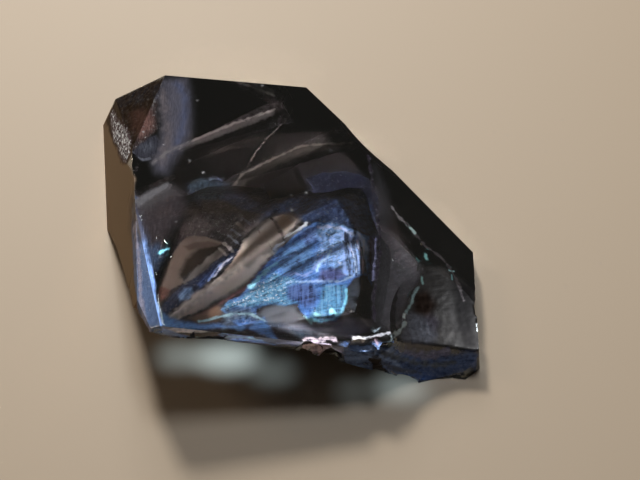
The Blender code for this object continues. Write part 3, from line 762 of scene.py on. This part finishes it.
mesh = crystal.data
count = len(mesh.vertices)
place = np.empty(count * 3)
mesh.vertices.foreach_get("co", place)
place = place.reshape(-1, 3) / MM
kinds = np.zeros(len(mesh.polygons), int)
mesh.attributes["kind"].data.foreach_get("value", kinds)
corner_vert = np.zeros(len(mesh.loops), int)
mesh.loops.foreach_get("vertex_index", corner_vert)
sides = np.zeros(len(mesh.polygons), int)
mesh.polygons.foreach_get("loop_total", sides)
corner_kind = np.repeat(kinds, sides)
facing = np.zeros(len(mesh.polygons) * 3)
mesh.polygons.foreach_get("normal", facing)
looks_up = np.repeat(facing.reshape(-1, 3)[:, 2] > LOOKS_UP, sides)
corner_under = (corner_kind != GROWTH) & ~looks_up

# The finish of the upper side and of the under side at every vertex.
finish_of = {OVER: np.ones((count, 8)), UNDER: np.ones((count, 8))}
finish_of[OVER][:, :] = BARE_FACE
finish_of[UNDER][:, :] = BASE_PAINTED_SHADE
broken_vert = np.zeros(count, bool)
broken_vert[corner_vert[corner_kind == BROKEN]] = True
finish_of[UNDER][broken_vert] = BROKEN_FILM_AND_SHADE

# The edges of the patches wander a little, and the lines are of uneven width. Without a seed the
# wandering would differ from run to run.
WANDER_SEED = 7
noise.seed_set(WANDER_SEED)
wander = np.array([
    noise.noise_vector(Vector(point) * 1.3) * 0.10 + noise.noise_vector(Vector(point) * 4) * 0.05
    for point in place
])
uneven = np.array([noise.noise(Vector(point) * 2.6) for point in place]).clip(-0.5, 0.5) + 0.5
for patch in PATCHES.values():
    spots = place[:, :2] + wander[:, :2] * (0.3 if patch.wide else 1.0)
    inner = depth_in(spots, patch, uneven)[:, None]
    part = fade(inner / patch.soft + 0.5)
    looks = np.array(
        (*patch.paint, patch.sparkle, patch.metal, patch.rough, patch.grain, patch.lines)
    )
    now = finish_of[patch.side]
    drawn = part
    if patch.side == OVER:
        # The finish runs on a little under the clear face beside it, where it does not show.
        beyond = fade((inner + SPREAD) / patch.soft + 0.5)
        drawn = np.where(now[:, FILM:FILM + 1] < NO_FILM, beyond, part)
    film_now = now[:, FILM:FILM + 1] + (patch.metal - now[:, FILM:FILM + 1]) * part
    now += (looks - now) * drawn
    now[:, FILM:FILM + 1] = film_now
finish_of[UNDER][:, FILM] += 1
corners = np.where(
    corner_under[:, None], finish_of[UNDER][corner_vert], finish_of[OVER][corner_vert]
)

# Relief of the broken surface, in millimetres: a slow ripple, spokes out from the corner where the
# blow fell, and a fine crumple. Only a vertex with broken surface all round it moves.
STRIKE = np.array((-9.28, -11.53))
RIPPLE, SPOKES, CRUMPLE = 0.02, 0.05, 0.05
lowest = np.full(count, BROKEN + 1)
np.minimum.at(lowest, corner_vert, corner_kind)
grain_at = np.zeros(count)
np.maximum.at(grain_at, corner_vert, corners[:, GRAIN])
way = np.empty(count * 3)
mesh.vertices.foreach_get("normal", way)
way = way.reshape(-1, 3)
shift = np.zeros(count)
for v in np.nonzero(lowest == BROKEN)[0]:
    x, y, z = place[v]
    radius = math.hypot(x - STRIKE[0], y - STRIKE[1])
    heading = math.atan2(y - STRIKE[1], x - STRIKE[0])
    ripple = noise.noise(Vector((x * 0.8, y * 0.8, z * 0.8)))
    spokes = noise.noise(Vector((heading * 26, radius * 0.35, 0)))
    crumple = noise.noise(Vector((x * 2.6, y * 2.6, z * 2.6 + 40)))
    shift[v] = RIPPLE * ripple + grain_at[v] * (SPOKES * spokes + CRUMPLE * crumple)
place += way * shift[:, None]
place[:, 2] = place[:, 2].clip(0, None)
mesh.vertices.foreach_set("co", (place * MM).ravel())

for name, values in (("finish", corners[:, :FILM]), ("film", corners[:, FILM:])):
    layer = mesh.color_attributes.new(name, "FLOAT_COLOR", "CORNER")
    layer.data.foreach_set("color", np.ascontiguousarray(values).ravel())
SHARP_FROM = 28
bpy.ops.object.shade_smooth_by_angle(angle=math.radians(SHARP_FROM))
mesh.polygons.foreach_set("use_smooth", kinds == BROKEN)


class Wire:
    """One socket of a material, with arithmetic."""

    def __init__(self, tree, socket=None):
        self.tree, self.socket = tree, socket

    def node(self, kind, settings, values, out=0):
        made = self.tree.nodes.new(kind)
        for name, value in settings.items():
            if name == "stops":
                ramp = made.color_ramp.elements
                while len(ramp) > 1:
                    ramp.remove(ramp[0])
                for stop, colour in value[1:]:
                    ramp.new(stop).color = colour
                ramp[0].position, ramp[0].color = value[0]
            else:
                setattr(made, name, value)
        for name, value in values.items():
            at = name if isinstance(name, int) else next(
                i for i, socket in enumerate(made.inputs) if socket.name == name and socket.enabled
            )
            if isinstance(value, Wire):
                self.tree.links.new(value.socket, made.inputs[at])
            else:
                made.inputs[at].default_value = value
        return Wire(self.tree, made.outputs[out])

    def parts(self, kind="ShaderNodeSeparateColor"):
        made = self.tree.nodes.new(kind)
        self.tree.links.new(self.socket, made.inputs[0])
        return [Wire(self.tree, made.outputs[i]) for i in range(3)]

    def math(self, operation, *values):
        return self.node("ShaderNodeMath", {"operation": operation}, dict(enumerate(values)))

    def __add__(self, other): return self.math("ADD", self, other)
    def __radd__(self, other): return self.math("ADD", other, self)
    def __sub__(self, other): return self.math("SUBTRACT", self, other)
    def __rsub__(self, other): return self.math("SUBTRACT", other, self)
    def __mul__(self, other): return self.math("MULTIPLY", self, other)
    def __rmul__(self, other): return self.math("MULTIPLY", other, self)


# The coated quartz: clear crystal, and over it the film by its share. Both let light through and
# bend it as quartz does. The film's thickness is in nanometres.
QUARTZ_IOR = 1.544
FILM_THICKNESS, FILM_IOR = 70, 1.85
CLEAR_COLOUR = (0.94, 0.92, 0.93, 1)
FILM_EDGE_TINT = (0.76, 0.68, 0.59, 1)
PAINTED_GLINT_COLOUR = (0.92, 0.97, 1.0, 1)
ABSORBED_COLOUR, ABSORPTION = (0.62, 0.56, 0.56, 1), 70
TONE_STOPS = [(0.36, (0.16, 0.16, 0.2, 1)), (0.47, (0.6, 0.6, 0.65, 1)), (0.55, (1, 1, 1, 1))]
LIGHT_STOPS = [(0.55, (0, 0, 0, 1)), (0.68, (1, 1, 1, 1))]
GLINT_STOPS = [(0.63, (0, 0, 0, 1)), (0.70, (1, 1, 1, 1))]
UNDER_FROM = 1.2

coated = bpy.data.materials.new("coated_quartz")
coated.use_nodes = True
tree = coated.node_tree
tree.nodes.clear()
wire = Wire(tree)
STRIKE_X, STRIKE_Y = (float(c) * MM for c in STRIKE)
finish = wire.node("ShaderNodeAttribute", {"attribute_name": "finish"}, {})
sparkle = wire.node("ShaderNodeAttribute", {"attribute_name": "finish"}, {}, 3)
film_of = wire.node("ShaderNodeAttribute", {"attribute_name": "film"}, {})
lines = wire.node("ShaderNodeAttribute", {"attribute_name": "film"}, {}, 3)
film_share, rough, grain = film_of.parts()

# Under the crystal there is film all over, and its value is stored one up. On the upper side the
# value is the share of film on the clear face.
under = wire.math("GREATER_THAN", film_share, UNDER_FROM)
metal = 1.0 - under * (2.0 - film_share)
share = wire.math("MINIMUM", film_share, 1.0)

# Scratches run out from the corner where the blow fell. Grooves run from front to back.
place_of = wire.node("ShaderNodeTexCoord", {}, {}, 3)
x, y, z = place_of.parts("ShaderNodeSeparateXYZ")
heading = wire.math("ARCTAN2", y - STRIKE_Y, x - STRIKE_X)
fan = wire.node(
    "ShaderNodeCombineXYZ", {}, {"X": heading * 60.0, "Y": y * 900.0, "Z": z * 900.0}
)
scratches = wire.node(
    "ShaderNodeTexNoise", {}, {"Vector": fan, "Scale": 1.0, "Detail": 3.0, "Roughness": 0.65}
)
crumple = wire.node(
    "ShaderNodeTexNoise", {},
    {"Vector": place_of, "Scale": 3000.0, "Detail": 5.0, "Roughness": 0.7},
)
speckle = wire.node(
    "ShaderNodeTexNoise", {},
    {"Vector": place_of, "Scale": 4800.0, "Detail": 2.0, "Roughness": 0.6},
)
grooves_at = wire.node("ShaderNodeCombineXYZ", {}, {"X": x * 3600.0, "Y": y * 260.0, "Z": 0.0})
grooves = wire.node(
    "ShaderNodeTexNoise", {}, {"Vector": grooves_at, "Scale": 1.0, "Detail": 2.0}
)
tone = scratches * 0.5 + crumple * 0.5 + (grooves - 0.5) * lines * 0.9

# Grain darkens the film's colour, and painted highlights on the grain's ridges and painted glints
# lighten it.
dark = wire.node("ShaderNodeValToRGB", {"stops": TONE_STOPS}, {"Fac": tone})
light = wire.node("ShaderNodeValToRGB", {"stops": LIGHT_STOPS}, {"Fac": tone})
glint = wire.node(
    "ShaderNodeValToRGB", {"stops": GLINT_STOPS}, {"Fac": speckle + sparkle * 0.06}
)
toned = wire.node(
    "ShaderNodeMix", {"data_type": "RGBA", "blend_type": "MULTIPLY"},
    {"Factor": grain, "A": finish, "B": dark}, 2,
)
whitened = 0.55 + wire.math("MAXIMUM", sparkle - 1.0, 0.0) * 0.35
bright = wire.node(
    "ShaderNodeMix", {"data_type": "RGBA"},
    {"Factor": whitened, "A": finish, "B": PAINTED_GLINT_COLOUR}, 2,
)
lit = wire.math("MAXIMUM", light * grain * sparkle, glint * sparkle)
painted = wire.node(
    "ShaderNodeMix", {"data_type": "RGBA"}, {"Factor": lit, "A": toned, "B": bright}, 2
)
bump = wire.node(
    "ShaderNodeBump", {},
    {"Height": crumple + scratches, "Strength": grain * 0.7, "Distance": 0.00008},
)

clear = tree.nodes.new("ShaderNodeBsdfPrincipled")
film = tree.nodes.new("ShaderNodeBsdfPrincipled")
for shader in (clear, film):
    shader.inputs["Transmission Weight"].default_value = 1
    shader.inputs["IOR"].default_value = QUARTZ_IOR
    shader.inputs["Thin Film Thickness"].default_value = FILM_THICKNESS
    shader.inputs["Thin Film IOR"].default_value = FILM_IOR
clear.inputs["Base Color"].default_value = CLEAR_COLOUR
clear.inputs["Roughness"].default_value = 0
film.inputs["Specular Tint"].default_value = FILM_EDGE_TINT
for name, value in (
    ("Base Color", painted), ("Metallic", metal), ("Roughness", rough), ("Normal", bump)
):
    tree.links.new(value.socket, film.inputs[name])
output = tree.nodes.new("ShaderNodeOutputMaterial")
mixed = tree.nodes.new("ShaderNodeMixShader")
tree.links.new(share.socket, mixed.inputs[0])
tree.links.new(clear.outputs[0], mixed.inputs[1])
tree.links.new(film.outputs[0], mixed.inputs[2])
tree.links.new(mixed.outputs[0], output.inputs["Surface"])
absorb = tree.nodes.new("ShaderNodeVolumeAbsorption")
absorb.inputs["Color"].default_value = ABSORBED_COLOUR
absorb.inputs["Density"].default_value = ABSORPTION
tree.links.new(absorb.outputs[0], output.inputs["Volume"])
crystal.data.materials.clear()
crystal.data.materials.append(coated)
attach(crystal, "root")
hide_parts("crystal")

# ---------------------------------------------------------------------------------------------
# The floor that it lies on: plain, pale and matt.
# ---------------------------------------------------------------------------------------------

FLOOR_SIZE = 0.9
JUST_BELOW = -0.000003
FLOOR_COLOUR = (0.30, 0.235, 0.165, 1)
bpy.ops.mesh.primitive_plane_add(size=FLOOR_SIZE, location=(0, 0, JUST_BELOW))
floor = bpy.context.object
floor.name = "floor"
floor_paint = bpy.data.materials.new("floor")
floor_paint.use_nodes = True
paint = floor_paint.node_tree.nodes["Principled BSDF"]
paint.inputs["Base Color"].default_value = FLOOR_COLOUR
paint.inputs["Roughness"].default_value = 0.6
floor.data.materials.append(floor_paint)

# ---------------------------------------------------------------------------------------------
# Light: a small soft key lamp behind on the left, a wide dim one beside it, a third high up, a
# warm panel at the left, and a dim warm room. Five narrow pale blue beams make the patches of
# light that the crystal throws into its own shadow.
# ---------------------------------------------------------------------------------------------

MIDDLE = Vector((2.918, -1.832, 4.0)) * MM
LAMP_DISTANCE = 0.30
BEAM_LENGTH, BEAM_ELEVATION = 0.15, 52
BEAM_COLOUR, BEAM_SOFTNESS, BEAM_SHAPE = (0.50, 0.74, 1.0), 0.001, (1, 0.34, 1)


def soft_lamp(name, heading, elevation, size, watts, colour):
    lamp = bpy.data.lights.new(name, "AREA")
    lamp.shape, lamp.size, lamp.energy, lamp.color = "DISK", size, watts, colour
    made = bpy.data.objects.new(name, lamp)
    bpy.context.scene.collection.objects.link(made)
    h, e = math.radians(heading), math.radians(elevation)
    way = Vector((math.cos(h) * math.cos(e), math.sin(h) * math.cos(e), math.sin(e)))
    made.location = MIDDLE + way * LAMP_DISTANCE
    made.rotation_euler = way.to_track_quat("Z", "Y").to_euler()


soft_lamp("key", 108.6, 45.5, 0.05, 0.80, (1.0, 0.95, 0.88))
soft_lamp("halo", 98, 38, 0.14, 0.38, (0.92, 0.96, 1.0))
soft_lamp("sky", 82, 67, 0.07, 0.38, (0.90, 0.95, 1.0))
soft_lamp("panel", 158, 36, 0.10, 0.12, (1.0, 0.80, 0.62))
for name, spot_at, reach, watts in (
    ("window_1", (-7.4, -9.5, 0), 0.0024, 1.6),
    ("window_2", (-4.0, -9.6, 0), 0.0030, 3.6),
    ("window_3", (-0.6, -10.8, 0), 0.0022, 0.9),
    ("window_4", (5.4, -12.4, 0), 0.0018, 0.5),
    ("window_5", (8.9, -12.1, 0), 0.0026, 1.7),
):
    beam = bpy.data.lights.new(name, "SPOT")
    beam.energy, beam.color, beam.shadow_soft_size = watts, BEAM_COLOUR, BEAM_SOFTNESS
    beam.spot_size, beam.spot_blend = 2 * math.atan(reach / BEAM_LENGTH), 1.0
    made = bpy.data.objects.new(name, beam)
    bpy.context.scene.collection.objects.link(made)
    e = math.radians(BEAM_ELEVATION)
    way = Vector((0, -math.cos(e), math.sin(e)))
    made.location = Vector(spot_at) * MM + way * BEAM_LENGTH
    made.rotation_euler = way.to_track_quat("Z", "Y").to_euler()
    made.scale = BEAM_SHAPE
ROOM_COLOUR, ROOM_STRENGTH = (1.0, 0.90, 0.80, 1), 0.06
world = bpy.data.worlds.new("room")
world.use_nodes = True
world.node_tree.nodes["Background"].inputs["Color"].default_value = ROOM_COLOUR
world.node_tree.nodes["Background"].inputs["Strength"].default_value = ROOM_STRENGTH
bpy.context.scene.world = world
bpy.context.scene.view_settings.view_transform = "Standard"
bpy.context.scene.cycles.sample_clamp_indirect = 0
bpy.context.scene.cycles.blur_glossy = 0

# ---------------------------------------------------------------------------------------------
# The camera looks down at sixty degrees from the front.
# ---------------------------------------------------------------------------------------------

CAMERA_DISTANCE = 0.110
CAMERA_ELEVATION = 60
VIEW_WIDTH = 0.04776
lens = bpy.data.cameras.new("camera")
SENSOR_WIDTH, NEAREST = 36, 0.001
lens.sensor_width = SENSOR_WIDTH
lens.lens = lens.sensor_width * CAMERA_DISTANCE / VIEW_WIDTH
lens.clip_start = NEAREST
camera = bpy.data.objects.new("camera", lens)
bpy.context.scene.collection.objects.link(camera)
e = math.radians(CAMERA_ELEVATION)
camera.location = MIDDLE + Vector((0, -math.cos(e), math.sin(e))) * CAMERA_DISTANCE
camera.rotation_euler = (math.pi / 2 - e, 0, 0)
bpy.context.scene.camera = camera
